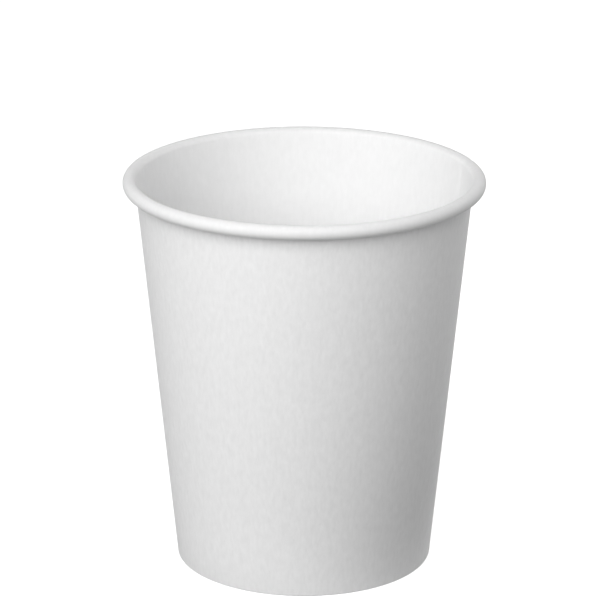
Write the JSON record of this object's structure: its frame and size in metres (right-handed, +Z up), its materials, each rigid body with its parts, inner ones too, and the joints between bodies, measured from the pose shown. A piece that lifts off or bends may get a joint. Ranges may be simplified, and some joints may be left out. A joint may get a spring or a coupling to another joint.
{
  "type": "paper coffee cup",
  "caption": "Single-wall paper cup for a hot drink, a tapered cone of white board with a rolled rim, a lapped side seam and a raised base.",
  "frame": {"origin": "centre of the circle that the cup stands on, on the table", "axes": "+Z up along the cup's axis, towards the open rim; +X towards the side seam, whose inner edge lies 17 degrees round from it towards +Y"},
  "size_m": [0.08, 0.08, 0.0885],
  "materials": {
    "side_board": "matte uncoated cupstock outside, thin satin polyethylene film inside and over the rolled rim",
    "base_board": "satin polyethylene film on top, matte uncoated board underneath"
  },
  "bodies": {
    "root": {"side_wall": "side_board", "base_pan": "base_board"}
  },
  "joints": []
}
